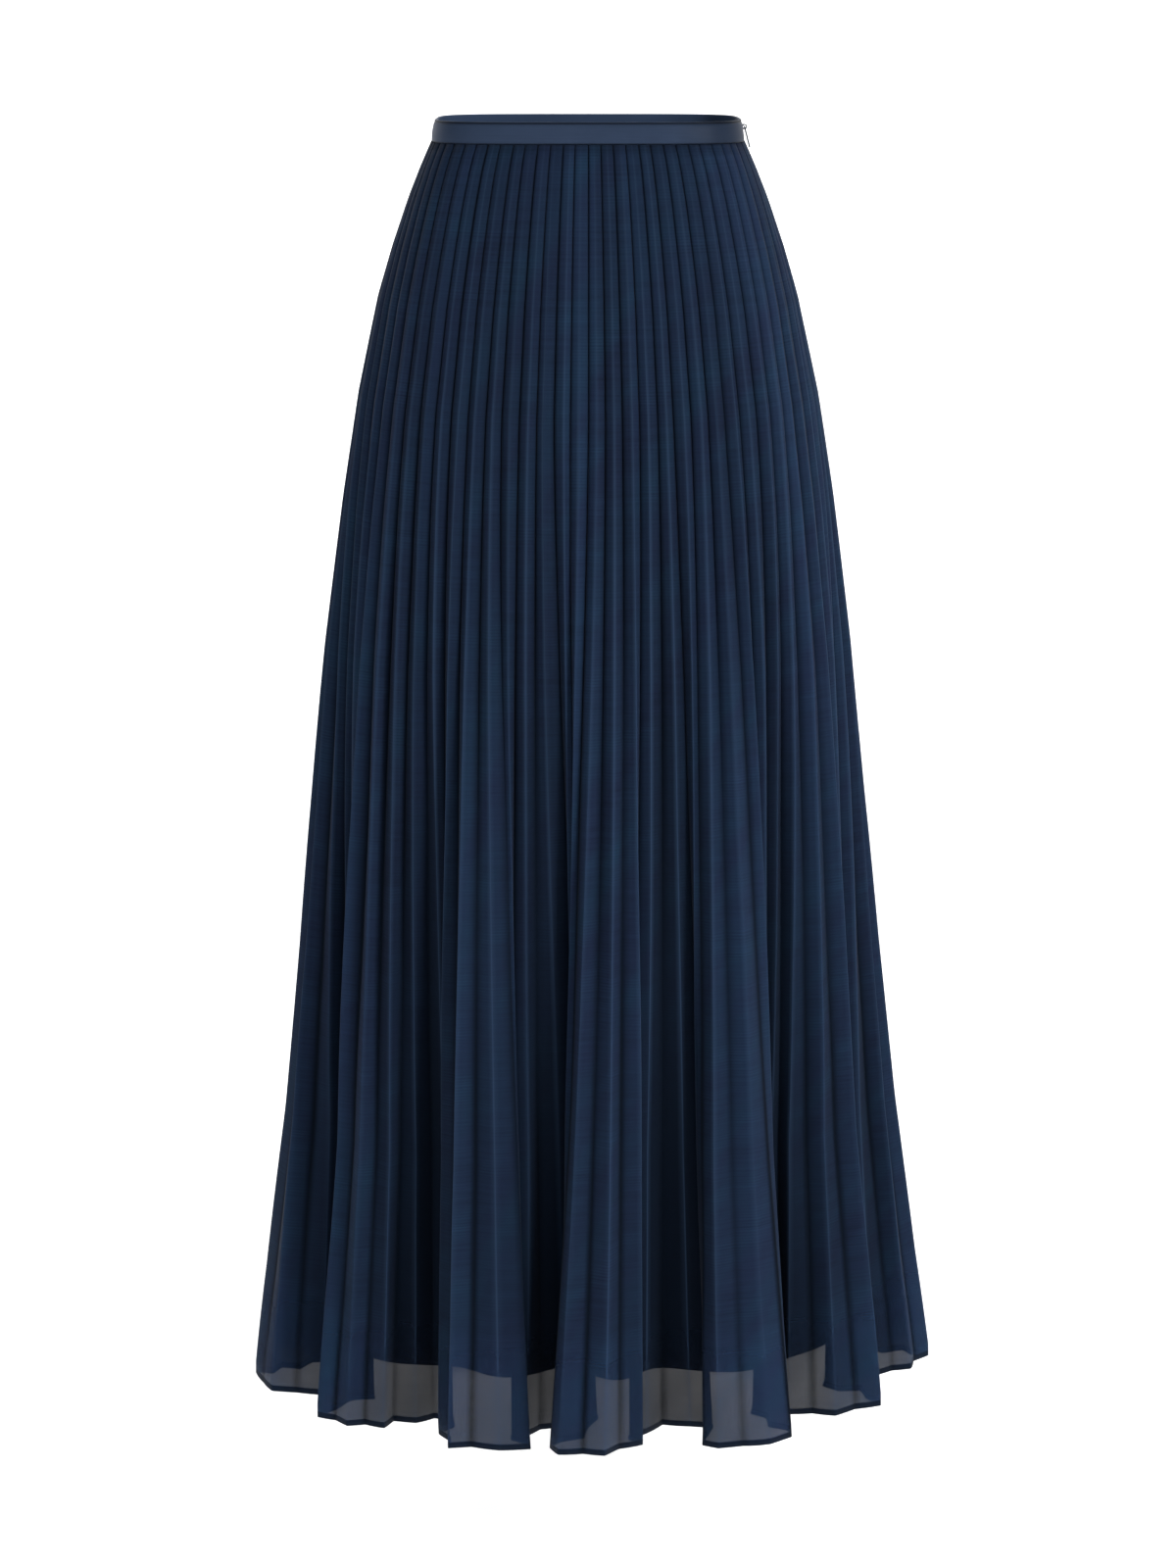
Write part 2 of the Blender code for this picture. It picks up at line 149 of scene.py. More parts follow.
def chiffonMaterial():
    look = chiffonLook
    fixed = {"Roughness": 0.8, "Sheen Weight": 0.015, "Sheen Roughness": 0.5, "Specular IOR Level": 0.06}
    material, wire, shader = newMaterial("chiffon", fixed)
    uv = wire.node("ShaderNodeUVMap", {"uv_map": "cut"})
    along, down = parts(wire, uv)    # metres round the cut cloth, and metres down it
    # uneven weft threads: long flat noise, and fine lines that come and go in patches
    drawn = wire.node("ShaderNodeCombineXYZ", inputs={0: along * 14.0, 1: down * 620.0})
    slub = wire.node("ShaderNodeTexNoise", {"noise_dimensions": "2D"},
                     {"Vector": drawn, "Scale": 1.0, "Detail": 2.0, "Roughness": 0.6})
    broad = wire.node("ShaderNodeCombineXYZ", inputs={0: along * 26.0, 1: down * 4.0})
    patch = wire.node("ShaderNodeTexNoise", {"noise_dimensions": "2D"},
                      {"Vector": uv, "Scale": 26.0, "Detail": 2.0, "Roughness": 0.6})
    cloud = wire.node("ShaderNodeTexNoise", {"noise_dimensions": "2D"},
                      {"Vector": broad, "Scale": 1.0, "Detail": 3.0, "Roughness": 0.55})
    weft = wire.maths("SINE", down * (2 * math.pi / look["weft"]) + slub * 4.0)
    showing = wire.maths("MULTIPLY", patch - 0.45, 4.0, clamp=True)
    # hue drifts between violet and teal; tone = look's tone + 0.45 (slub - 1/2) + 0.4 (cloud - 1/2)
    # + 0.12 (1 + weft) showing + each pleat's own shift, and painted light: lighter where the lining stands
    #   away and light comes through
    hue = wire.maths("ADD", (cloud - 0.5) * 1.8 + (patch - 0.5) * 1.0, 0.4, clamp=True)
    tone = (slub - 0.5) * 0.45 + (cloud - 0.5) * 0.4
    tone = tone + (weft + 1.0) * showing * 0.12 + attribute(wire, "shift")
    # painted light: the colour is made lighter further down than sheerFrom, where the lining stands away; the
    # same mask also thins the alpha
    sheer = wire.maths("MULTIPLY", down - look["sheerFrom"], 1 / look["sheerOver"], clamp=True)
    tone = tone + sheer * look["sheer"] + look["tone"]
    cloth = mixColour(wire, hue, look["violet"], look["teal"])
    shade = wire.node("ShaderNodeCombineColor", inputs={0: tone, 1: tone, 2: tone})
    cloth = mixColour(wire, 1.0, cloth, shade, "MULTIPLY")
    # painted highlight along the pressed edges, and painted shade in the inner folds: 1 - (1 - valley) (1 -
    # recess)
    free = 1.0 - attribute(wire, "valley") * look["valleyShade"]
    foldShade = 1.0 - free * (1.0 - attribute(wire, "recess") * look["recessShade"])
    # painted shade in the inner folds and recesses
    cloth = mixColour(wire, foldShade, cloth, look["valley"])
    # painted highlight along the pressed edges
    cloth = mixColour(wire, attribute(wire, "ridge") * look["ridgeHighlight"], cloth, look["ridge"])
    # the rolled hem is a dark line, and lets no light through
    rolled = wire.maths("MULTIPLY", down - look["hemFrom"], 1 / look["hemSoft"], clamp=True)
    cloth = mixColour(wire, rolled * look["hems"], cloth, look["valley"])
    feed(wire, shader, "Base Color", cloth)
    # denser along the creases, the hem and where the lining is close behind, uneven between
    thin = (slub - 0.5) * 0.05 + weft * showing * 0.014 + (cloud - 0.5) * 0.08
    dense = attribute(wire, "ridge") * 0.06 + attribute(wire, "valley") * 0.05 + rolled * 0.2
    cover = (1.0 - sheer) * look["backed"] + look["alpha"]
    feed(wire, shader, "Alpha", wire.maths("ADD", thin + dense, cover, clamp=True))
    height = weft * showing * 0.4 + slub * 1.0
    bump = wire.node("ShaderNodeBump", inputs={"Strength": 0.2, "Distance": look["relief"], "Height": height})
    feed(wire, shader, "Normal", bump)
    return material


def liningMaterial():
    fixed = {"Roughness": 0.7, "Sheen Weight": 0.01, "Specular IOR Level": 0.08}
    material, wire, shader = newMaterial("liningCloth", fixed)
    uv = wire.node("ShaderNodeUVMap", {"uv_map": "cut"})
    cloud = wire.node("ShaderNodeTexNoise", inputs={"Vector": uv, "Scale": 30.0, "Detail": 4.0})
    colour = mixColour(wire, cloud, rgba(0.003, 0.0055, 0.012), rgba(0.006, 0.0095, 0.019))
    feed(wire, shader, "Base Color", colour)
    across, down = parts(wire, uv)
    twill = wire.maths("SINE", (across + down) * 9000.0)
    feed(wire, shader, "Normal", wire.node("ShaderNodeBump",
         inputs={"Strength": 0.4, "Distance": 0.00005, "Height": twill + cloud}))
    return material


satinLook = {
    "dark": rgba(0.0160, 0.0255, 0.0470),
    "light": rgba(0.0222, 0.0350, 0.0645),
    "halfLength": 0.368,     # metres along one half of the band
    "height": 0.018,         # metres down its cut where the inside starts
    "tone": 1.14,
    "near": 0.55,            # painted light: lighter towards the right side seam
    "far": 0.5,              # painted shade: darker towards the left one
    # painted light: the inside face of the band is made lighter
    "inside": 0.9,
    # place, width and strength of each dark line: painted shade along the top edge's groove, and a dark line
    # at the foot
    "lines": ((0.0015, 0.0008, 0.85), (0.0164, 0.0006, 0.6)),
}


def satinMaterial():
    look = satinLook
    fixed = {"Specular IOR Level": 0.04}
    material, wire, shader = newMaterial("satinBand", fixed)
    uv = wire.node("ShaderNodeUVMap", {"uv_map": "cut"})
    along, down = parts(wire, uv)
    streak = wire.node("ShaderNodeCombineXYZ", inputs={0: along * 30.0, 1: down * 900.0})
    thread = wire.node("ShaderNodeTexNoise", {"noise_dimensions": "2D"},
                       {"Vector": streak, "Scale": 1.0, "Detail": 2.0})
    cloud = wire.node("ShaderNodeTexNoise", inputs={"Vector": uv, "Scale": 60.0, "Detail": 2.0})
    colour = mixColour(wire, thread * 0.6 + cloud * 0.4, look["dark"], look["light"])
    # painted light and shade: darker towards its left side seam, a painted shadow line along the stitched top
    # edge, darker at the foot, and painted lighter inside:
    # (tone + (near max(-s, 0)^3 - far clamp(3 s - 1)) (1 - i) + inside i), times for each line
    # 1 - strength exp(-((y - place) / width)^2), with s from -1 to 1 along the band and i = 1 inside
    side = along * (2 / look["halfLength"]) - 1.0
    near = wire.maths("MAXIMUM", side * -1.0, 0.0) ** 3.0
    far = wire.maths("MULTIPLY", side - 0.333, 3.0, clamp=True)
    inside = wire.maths("MULTIPLY", down - look["height"], 500.0, clamp=True)
    tone = look["tone"] + (near * look["near"] - far * look["far"]) * (1.0 - inside) + inside * look["inside"]
    # the first line is painted shade along the top edge's groove; the second darkens the foot
    for place, width, strength in look["lines"]:
        apart = (down - place) * (1 / width)
        line = wire.maths("EXPONENT", apart * apart * -1.0)
        tone = tone * (1.0 - line * strength)
    shade = wire.node("ShaderNodeCombineColor", inputs={0: tone, 1: tone, 2: tone})
    feed(wire, shader, "Base Color", mixColour(wire, 1.0, colour, shade, "MULTIPLY"))
    feed(wire, shader, "Roughness", cloud * 0.12 + 0.42)
    feed(wire, shader, "Normal", wire.node("ShaderNodeBump",
         inputs={"Strength": 0.5, "Distance": 0.00012, "Height": thread * 0.5 + cloud}))
    return material


def tapeMaterial():
    material, wire, shader = newMaterial("zipTape", {"Roughness": 0.85, "Sheen Weight": 0.15})
    place = wire.node("ShaderNodeTexCoord", output=3)
    ribs = wire.node("ShaderNodeTexWave", {"bands_direction": "Z"},
                     {"Vector": place, "Scale": 420.0, "Distortion": 0.6, "Detail": 1.0})
    rib = Wire(wire.tree, ribs.socket.node.outputs[1])
    colour = mixColour(wire, rib, rgba(0.010, 0.015, 0.030), rgba(0.022, 0.031, 0.055))
    feed(wire, shader, "Base Color", colour)
    feed(wire, shader, "Normal", wire.node("ShaderNodeBump",
         inputs={"Strength": 0.6, "Distance": 0.0001, "Height": rib}))
    return material


def lacquerMaterial():
    fixed = {"Coat Weight": 0.5, "Coat Roughness": 0.15}
    material, wire, shader = newMaterial("navyLacquer", fixed)
    place = wire.node("ShaderNodeTexCoord", output=3)
    wear = wire.node("ShaderNodeTexNoise", inputs={"Vector": place, "Scale": 900.0, "Detail": 3.0})
    stops = [(0.62, rgba(0, 0, 0)), (0.74, rgba(1, 1, 1))]
    wearAndShadeFade = wire.node("ShaderNodeValToRGB", {"stops": stops}, {0: wear})
    colour = mixColour(wire, wearAndShadeFade, rgba(0.020, 0.027, 0.048), rgba(0.16, 0.17, 0.19))
    feed(wire, shader, "Base Color", colour)
    feed(wire, shader, "Metallic", wearAndShadeFade * 0.6 + 0.3)
    feed(wire, shader, "Roughness", wear * 0.25 + 0.22)
    return material


materials = {
    "chiffon": chiffonMaterial(),
    "lining": liningMaterial(),
    "satin": satinMaterial(),
    "tape": tapeMaterial(),
    "lacquer": lacquerMaterial(),
}
print("materials made")

# the skirt's own sizes, in mm
skirt = {
    "panels": 164,
    "sideCrease": 82,
    "centreCrease": 40,
    "panelAtWaist": 4.92,
    "panelAtHem": 19.8,
    "slantLength": 985.0,
    "top": 16.3,
    "rings": 96,
    "hemHeight": 3.2,
    "foldStart": 0.2,
    "foldGather": 1.2,
    "foldDeepen": 1.5,
    "ease": 0.05,
    "uneven": 0.15,          # panels that a crease may stand from its even place
    "sharpest": 0.4,
    "steepest": 1.2,
    "crown": 0.02,           # how far a panel bows out, as a share of its width
    "ribs": 0.22,
    "ribsEnd": 0.6,          # share of the length where the ribs have become flat faces
    "grooveStart": 0.74,
    "columns": (0.0, 0.05, 0.26, 0.5, 0.74, 0.95),
    "ridgeWidth": 0.8,       # mm from a pressed edge, over which the painted highlight fades
    "valleyWidth": (0.22, 0.3, 0.1),    # panels from an inner fold over which the painted shade spreads, at the waist, midway and at the hem
    # where the painted shade inside the large folds starts, and over how many mm it deepens
    "recessFrom": 5.0,
    "recessOver": 38.0,
    "cloth": 0.35,
}
# below the waist's top, half width, half depth, and squareness: 2 is an oval, more is flatter
# in front and behind with rounder corners
outline = np.array([
    (0, 114.0, 94.0, 4.0), (16, 116.5, 96.5, 4.0), (30, 123.0, 102.0, 3.9), (59, 134.5, 108.5, 3.7),
    (96, 147.0, 115.0, 3.5), (133, 158.0, 121.5, 3.3), (208, 174.0, 131.5, 3.1), (284, 186.0, 140.0, 3.0),
    (400, 202.0, 154.0, 2.8), (520, 215.5, 168.0, 2.6), (640, 230.0, 183.0, 2.4), (770, 247.5, 199.0, 2.2),
    (900, 268.0, 217.0, 2.1), (985, 284.0, 231.0, 2.0),
])
# one row for each large fold: panels up its rise, along its front and down its fall, then its
# valley, the middle of the rise, left corner, crest, right corner and the middle of the fall,
# each in degrees round from the front and mm inside the outline
folds = (
    (5, 4, 3, (-75, 62), (-72.6, 26), (-71.5, -1), (-64, -5), (-60, 25), (-58, 40)),
    (3, 4, 4, (-54.5, 53), (-54.8, 26), (-52, -6), (-47, 0), (-42.5, 15), (-40.5, 40)),
    (4, 3, 6, (-34, 62), (-31.5, 28), (-26.7, 2), (-20.5, 8), (-10.5, 13), (-15.5, 46)),
    (4, 5, 3, (3, 80), (-2, 46), (-9.5, 21), (1, 6), (11.5, 29), (11.5, 44)),
    (4, 4, 4, (20, 66), (29, 46), (22, 14), (29.5, 0), (39.5, -5), (40.5, 28)),
    (3, 4, 4, (42.5, 56), (45, 50), (47, 40), (51.5, 12), (58, -3), (62, 25)),
    (3, 3, 4, (61, 58), (67.6, 38), (72, 18), (75, 8), (78.5, 2), (80.6, 22)),
    (4, 4, 3, (81, 54), (85.1, 33), (88, 18), (95, 12), (101, 14), (105, 31)),
    (4, 4, 4, (109, 48), (111.1, 28), (115, 8), (122, -2), (130, 4), (134.5, 29)),
    (3, 4, 4, (139, 54), (143.1, 31), (146, 8), (152, -4), (158, 5), (161.4, 38)),
    (5, 4, 4, (166, 72), (168.6, 38), (173, 3), (180, -4), (187, 6), (190.4, 36)),
    (4, 4, 4, (195, 66), (199, 36), (202, 6), (208, 0), (215, 4), (219.6, 31)),
    (4, 5, 4, (223, 58), (225.9, 31), (230, 4), (238, -3), (245, 8), (249.5, 26)),
    (3, 4, 4, (254, 44), (258.1, 29), (261, 14), (267, 14), (274, 20), (279, 40)),
)


def outlineAt(table, below):
    # half width, half depth and squareness at a height
    return [np.interp(below, table[:, 0], table[:, column]) for column in (1, 2, 3)]


def reach(wide, deep, power, turn):
    # (|sin t / wide|^p + |cos t / deep|^p)^(-1/p)
    return (np.abs(np.sin(turn) / wide) ** power + np.abs(np.cos(turn) / deep) ** power) ** (-1 / power)


def planPoints(radius, turn):
    return np.stack([radius * np.sin(turn), -radius * np.cos(turn)], axis=-1)


def arcTurns(sizes, shares):
    # turns at even shares of an outline's length, counted from the front's centre line
    fine = np.radians(np.linspace(-360, 360, 5761))
    steps = np.hypot(*np.diff(planPoints(reach(*sizes, fine), fine), axis=0).T)
    length = np.concatenate([[0], np.cumsum(steps)])
    length -= np.interp(0, fine, length)
    return np.interp(shares * 2 * np.interp(math.pi, fine, length), length, fine)


def hemFolds():
    # a parabola through the three places of each wall and front, read at each crease
    places = []
    for index, row in enumerate(folds):
        rise, front, fall = row[:3]
        valley, up, left, crest, right, down = (np.array(place, float) for place in row[3:])
        following = folds[(index + 1) % len(folds)][3]
        end = np.array(following, float) + (360 * (index == len(folds) - 1), 0)
        walls = ((valley, up, left, rise), (left, crest, right, front), (right, down, end, fall))
        for a, b, c, count in walls:
            s = (np.arange(count) / count)[:, None]
            places.append(a * (1 - s) * (1 - 2 * s) + 4 * b * s * (1 - s) + c * s * (2 * s - 1))
    turns, depths = np.concatenate(places).T
    before, after = np.roll(turns, 1), np.roll(turns, -1)
    before[0] -= 360
    after[-1] += 360
    ease = skirt["ease"]
    turns = turns * (1 - 2 * ease) + ease * (before + after)
    depths = depths * (1 - 2 * ease) + ease * (np.roll(depths, 1) + np.roll(depths, -1))
    return np.radians(turns), depths


hemTurn, hemDepth = hemFolds()


def pleatRing(share, below):
    # the folds' middle line, then the zigzag of pressed pleats across it
    sizes = outlineAt(outline, below)
    creases = np.arange(skirt["panels"])
    wander = np.sin(creases * 2.4) * np.sin(creases * 0.83 + 1) + 0.5 * np.sin(creases * 4.1)
    handmade = skirt["uneven"] * wander
    even = arcTurns(sizes, (creases + handmade - skirt["centreCrease"]) / skirt["panels"])
    fall = max(share - skirt["foldStart"], 0) / (1 - skirt["foldStart"])
    turn = even + (hemTurn - even) * fall ** skirt["foldGather"]
    middle = planPoints(reach(*sizes, turn) - hemDepth * fall ** skirt["foldDeepen"], turn)
    panel = skirt["panelAtWaist"] + (skirt["panelAtHem"] - skirt["panelAtWaist"]) * share
    chord = np.hypot(*(np.roll(middle, -1, 0) - middle).T)
    swing = np.sqrt(np.maximum(panel ** 2 - chord ** 2, (0.12 * panel) ** 2))
    swing = np.minimum(swing, panel * (1 - (1 - skirt["sharpest"]) * fall))
    swing = np.minimum(swing, skirt["steepest"] * chord)
    swing = (swing + np.roll(swing, 1)) / 2
    along = np.roll(middle, -1, 0) - np.roll(middle, 1, 0)
    along /= np.hypot(*along.T)[:, None]
    outward = np.stack([along[:, 1], -along[:, 0]], axis=1)
    side = np.where(creases % 2 == 0, -0.5, 0.5)
    return middle + outward * (side * swing)[:, None]


def pleatedGrid():
    # each ring hangs so that every crease keeps its cut length
    below = np.full(skirt["panels"], skirt["top"])
    shares = np.linspace(0, 1, skirt["rings"])
    plan = pleatRing(0, skirt["top"])
    rings = [np.column_stack([plan, -below])]
    length = skirt["slantLength"] / (skirt["rings"] - 1)
    for share in shares[1:]:
        guess = below.mean() + length
        for _ in range(2):
            plan = pleatRing(share, guess)
            across = np.hypot(*(plan - rings[-1][:, :2]).T)
            drop = np.sqrt(np.maximum(length ** 2 - across ** 2, (0.3 * length) ** 2))
            guess = (below + drop).mean()
        below = below + drop
        rings.append(np.column_stack([plan, -below]))
    return np.array(rings), shares


def finePanels(grid, shares):
    # columns between the creases. High up, each rib is flat topped with a narrow groove beside it:
    # the panel stands out by ribs * width * min(r / g, (1 - r) / (1 - g)), r being how far the
    # point is from the outer crease and g where the groove starts; it fades to a flat panel
    flat = np.clip(shares / skirt["ribsEnd"], 0, 1)
    ribs = (skirt["ribs"] * (1 - flat))[:, None, None]
    ahead = np.roll(grid, -1, 1)
    step = ahead - grid
    width = np.linalg.norm(step[:, :, :2], axis=2, keepdims=True)
    normal = np.dstack([step[:, :, 1], -step[:, :, 0], np.zeros(step.shape[:2])]) / width
    startsOuter = (np.arange(skirt["panels"]) % 2 == 1)[None, :, None]
    groove = skirt["grooveStart"]
    rows = []
    for f in skirt["columns"]:
        fromRidge = np.where(startsOuter, f, 1 - f)
        shape = np.minimum(fromRidge / groove, (1 - fromRidge) / (1 - groove))
        rows.append(grid + step * f + normal * width * (ribs * shape + skirt["crown"] * 4 * f * (1 - f)))
    fine = np.stack(rows, axis=2).reshape(len(grid), -1, 3)
    count = len(skirt["columns"])
    before, after = np.roll(fine, 1, 1), np.roll(fine, -1, 1)
    fine[:, ::count] = 0.4 * fine[:, ::count] + 0.3 * (before[:, ::count] + after[:, ::count])
    return fine


def ringNormals(grid, apart=1):
    # outward normals in plan, from the points so many columns to each side
    along = np.roll(grid, -apart, 1) - np.roll(grid, apart, 1)
    normal = np.dstack([along[:, :, 1], -along[:, :, 0], np.zeros(along.shape[:2])])
    return normal / np.linalg.norm(normal, axis=2, keepdims=True)


def sheetMesh(name, grid, cut, material, marks=None, thickness=None):
    # a grid of rows and columns made one surface; cut gives each point's place on the flat cloth
    rows, columns = grid.shape[:2]
    index = np.arange(rows * columns).reshape(rows, columns)
    faces = np.stack([index[:-1, :-1], index[1:, :-1], index[1:, 1:], index[:-1, 1:]], -1).reshape(-1, 4)
    mesh = bpy.data.meshes.new(name)
    mesh.from_pydata((grid.reshape(-1, 3) * mm).tolist(), [], faces.tolist())
    layer = mesh.uv_layers.new(name="cut")
    layer.data.foreach_set("uv", (cut.reshape(-1, 2) * mm)[faces.ravel()].ravel())
    for label, values in (marks or {}).items():
        mesh.attributes.new(label, "FLOAT", "POINT").data.foreach_set("value", values.ravel())
    mesh.shade_smooth()
    mesh.materials.append(material)
    piece = bpy.data.objects.new(name, mesh)
    bpy.context.scene.collection.objects.link(piece)
    if thickness:
        wall = piece.modifiers.new("wall", "SOLIDIFY")
        wall.thickness = thickness * mm
        wall.offset = 0.0
    return piece


def halfColumns(count, back):
    # columns of a closed ring that belong to the front or to the back panel
    side = skirt["sideCrease"] * count
    whole = skirt["panels"] * count
    return np.append(np.arange(side, whole), 0) if back else np.arange(0, side + 1)


# soft troughs and ridges in the cloth besides the pleats: crease, from and to down the cut
# length in mm, depth in mm (outwards if positive), half width in panels
softCreases = (
    (6.3, 560, 985, 2.4, 1.1),
    (9.1, 700, 940, -2.2, 0.9),
    (14.8, 640, 980, -2.6, 1.3),
    (19.9, 600, 985, -1.8, 0.8),
    (27.7, 500, 985, -1.6, 0.9),
    (43.8, 620, 985, -1.8, 0.8),
    (54.4, 560, 985, 1.7, 0.9),
    (65.5, 640, 960, -2.2, 1.0),
    (75.2, 600, 985, 1.9, 0.9),
    (86.6, 580, 970, -2.4, 1.1),
    (98.5, 640, 985, 2.0, 1.0),
    (110.5, 560, 985, -2.0, 0.9),
    (123.5, 600, 960, 2.1, 1.1),
    (135.5, 650, 985, -1.9, 0.8),
    (146.3, 560, 985, 2.2, 1.0),
    (158.3, 620, 985, -2.1, 1.0),
)


def softRelief(panel, down):
    # depth * exp(-((panel - crease) / width)^2) * sin^2 over its length
    relief = np.zeros_like(panel)
    for crease, start, end, depth, width in softCreases:
        run = np.clip((down - start) / (end - start), 0, 1)
        swell = np.where(end >= skirt["slantLength"], np.sin(run * math.pi / 2), np.sin(run * math.pi)) ** 2
        relief += depth * np.exp(-((panel - crease) / width) ** 2) * swell
    drift = 0.55 * np.sin(panel * 0.71 + down * 0.011) + 0.4 * np.sin(panel * 1.93 - down * 0.017 + 1.3)
    return relief + drift * np.clip(down / 400, 0.15, 1)


def foldRecess(fine, count):
    # how far the cloth lies inside the neighbouring folds: (widest radius nearby - radius) / depth, used as
    # painted shade there
    radius = np.hypot(fine[:, :, 0], fine[:, :, 1])
    widest = radius.copy()
    for panels in range(-6, 7):
        widest = np.maximum(widest, np.roll(radius, panels * count, axis=1))
    inside = np.clip((widest - radius - skirt["recessFrom"]) / skirt["recessOver"], 0, 1)
    soft = sum(np.roll(inside, step, axis=1) for step in range(-2, 3)) / 5
    return soft ** 0.8


def makeSkirt():
    grid, shares = pleatedGrid()
    fine = finePanels(grid, shares)
    count = len(skirt["columns"])
    panel = (np.arange(skirt["panels"])[:, None] + np.array(skirt["columns"])).ravel()
    down = shares * skirt["slantLength"]
    panels, downs = np.meshgrid(panel, down)
    fine = fine + ringNormals(fine, 2 * count) * softRelief(panels, downs)[:, :, None]
    normal = ringNormals(fine)
    # the rolled hem: the cloth turns in at the edge and runs back up inside
    roll = []
    edge, above = fine[-1], fine[-2]
    upward = (above - edge) / np.linalg.norm(above - edge, axis=1, keepdims=True)
    for inwards, rise in ((0.45, -0.25), (0.9, 0.3), (1.0, skirt["hemHeight"])):
        roll.append(edge - normal[-1] * inwards + upward * rise)
    fine = np.concatenate([fine, np.array(roll)])
    width = skirt["panelAtWaist"] + (skirt["panelAtHem"] - skirt["panelAtWaist"]) * shares
    cutAcross = np.concatenate([panels * width[:, None], np.tile(panel * skirt["panelAtHem"], (3, 1))])
    turned = np.tile(skirt["slantLength"] + np.array([[0.5], [1], [6]]), (1, len(panel)))
    cutDown = np.concatenate([downs, turned])
    cut = np.dstack([cutAcross, cutDown])
    # how near each point is to a pressed edge: odd creases stand out, even ones lie inside
    toRidge = np.abs((panels - 1) / 2 - np.round((panels - 1) / 2)) * 2
    # ridge: mask of the painted highlight along the pressed edges, fainter high up and uneven from pleat to
    # pleat
    ridge = np.exp(-(toRidge * width[:, None] / skirt["ridgeWidth"]) ** 2)
    ridge = ridge * np.clip(0.3 + 1.8 * shares[:, None], 0, 1)
    # valley: mask of the painted shade in the inner folds, its width in panels changing down the skirt
    inside = np.interp(shares, (0, 0.5, 1), skirt["valleyWidth"])[:, None]
    pleat = np.round(panels / 2)
    uneven = 1 + 0.3 * np.sin(pleat * 2.4) * np.sin(pleat * 0.83 + 1)
    uneven = uneven + 0.15 * np.sin(pleat * 1.7 + downs / 90)
    # the painted shade in the grooves is fainter high up, towards the left side seam
    side = np.cos(np.radians((panels - skirt["centreCrease"]) * 360 / skirt["panels"] + 50))
    wearAndShadeFade = (1 - np.clip(0.55 + 0.45 * side, 0, 1)) * np.clip(2.2 - 3 * shares[:, None], 0, 1)
    valley = np.exp(-((1 - toRidge) / inside) ** 2) * (1 - wearAndShadeFade) * uneven
    ridge = ridge * (0.6 + 0.4 * np.sin(pleat * 3.7 + 1))
    shift = 0.1 * np.sin(pleat * 2.9 + 0.5) * np.sin(pleat * 1.31) + 0.05 * np.sin(pleat * 5.3 + downs / 160)
    marks = {label: np.concatenate([values, np.tile(values[-1], (3, 1))])
             for label, values in (("ridge", ridge), ("valley", valley), ("shift", shift))}
    # recess: painted shade deep inside the large folds
    marks["recess"] = foldRecess(fine, count)
    pieces = {}
    for name, back in (("chiffonFront", False), ("chiffonBack", True)):
        columns = halfColumns(count, back)
        piece = sheetMesh(name, fine[:, columns], cut[:, columns], materials["chiffon"],
                          {label: values[:, columns] for label, values in marks.items()}, skirt["cloth"])
        pieces[name] = piece
    return pieces


skirtPieces = makeSkirt()
print("pleated skirt made")

lining = {"columns": 120, "rows": 80, "top": 8.0, "edge": 966.0, "wall": 0.5, "centre": 0.5, "wave": 13.0,
          "waves": 10.4, "crest": 9.0, "waveTop": 60.0, "zipOpening": 10.4, "zipLength": 204.0, "seam": 0.15,
          "ripple": 0.6, "ripples": 17}
liningOutline = np.array([
    (8, 114.0, 94.0, 4.0), (17, 114.6, 94.6, 4.0), (59, 129.0, 103.0, 3.7), (133, 149.0, 113.0, 3.3),
    (208, 164.0, 122.0, 3.1), (284, 172.5, 127.0, 3.0), (400, 181.0, 129.0, 3.0), (520, 187.0, 130.0, 3.0),
    (640, 192.0, 131.0, 3.0), (770, 197.0, 132.0, 3.0), (966, 206.0, 133.0, 3.0),
])


def makeLining():
    # its outline, plus slow waves: wave * low^2 * cos(waves (t - crest)) * cos^2 t
    below = np.linspace(lining["top"], lining["edge"], lining["rows"])[:, None]
    wide, deep, power = outlineAt(liningOutline, below)
    low = np.clip((below - lining["waveTop"]) / (lining["edge"] - lining["waveTop"]), 0, 1)
    pieces = {}
    for name, back in (("liningClothFront", False), ("liningClothBack", True)):
        start = math.pi / 2 if back else -math.pi / 2
        turn = (start + np.linspace(0, math.pi, lining["columns"] + 1))[None, :]
        wave = np.cos(lining["waves"] * (turn - math.radians(lining["crest"]))) * np.cos(turn) ** 2
        small = lining["ripple"] * low * np.sin(lining["ripples"] * turn + below * 0.006)
        radius = reach(wide - lining["centre"], deep - lining["centre"], power, turn)
        radius = radius + lining["wave"] * low ** 2 * wave + small
        plan = planPoints(radius, np.broadcast_to(turn, radius.shape))
        grid = np.dstack([plan, np.broadcast_to(-below, radius.shape)])
        # the edge beside the zip stands back from it, and closes below it
        gap = np.where(below[:, 0] <= lining["zipLength"], lining["zipOpening"], lining["seam"])
        zipEdge, beside = (0, 1) if back else (-1, -2)
        step = grid[:, beside] - grid[:, zipEdge]
        grid[:, zipEdge] += step * (gap / np.linalg.norm(step, axis=1))[:, None]
        across = radius * (turn - start)
        cut = np.dstack([across, np.broadcast_to(below, across.shape)])
        pieces[name] = sheetMesh(name, grid, cut, materials["lining"], None, lining["wall"])
    return pieces


liningPieces = makeLining()
print("lining made")

band = {"height": 16.0, "wall": 2.2, "proud": 1.0, "columns": 140, "round": 0.7, "bulge": 0.5, "ripple": 0.15,
        "gap": 0.15, "zipGap": 0.9,
        # the understitched top edge: a small roll, then a groove, as places out and down
        "groove": ((0.0, 1.1), (-0.3, 1.45), (-0.55, 1.8), (-0.3, 2.15), (0.0, 2.5))}


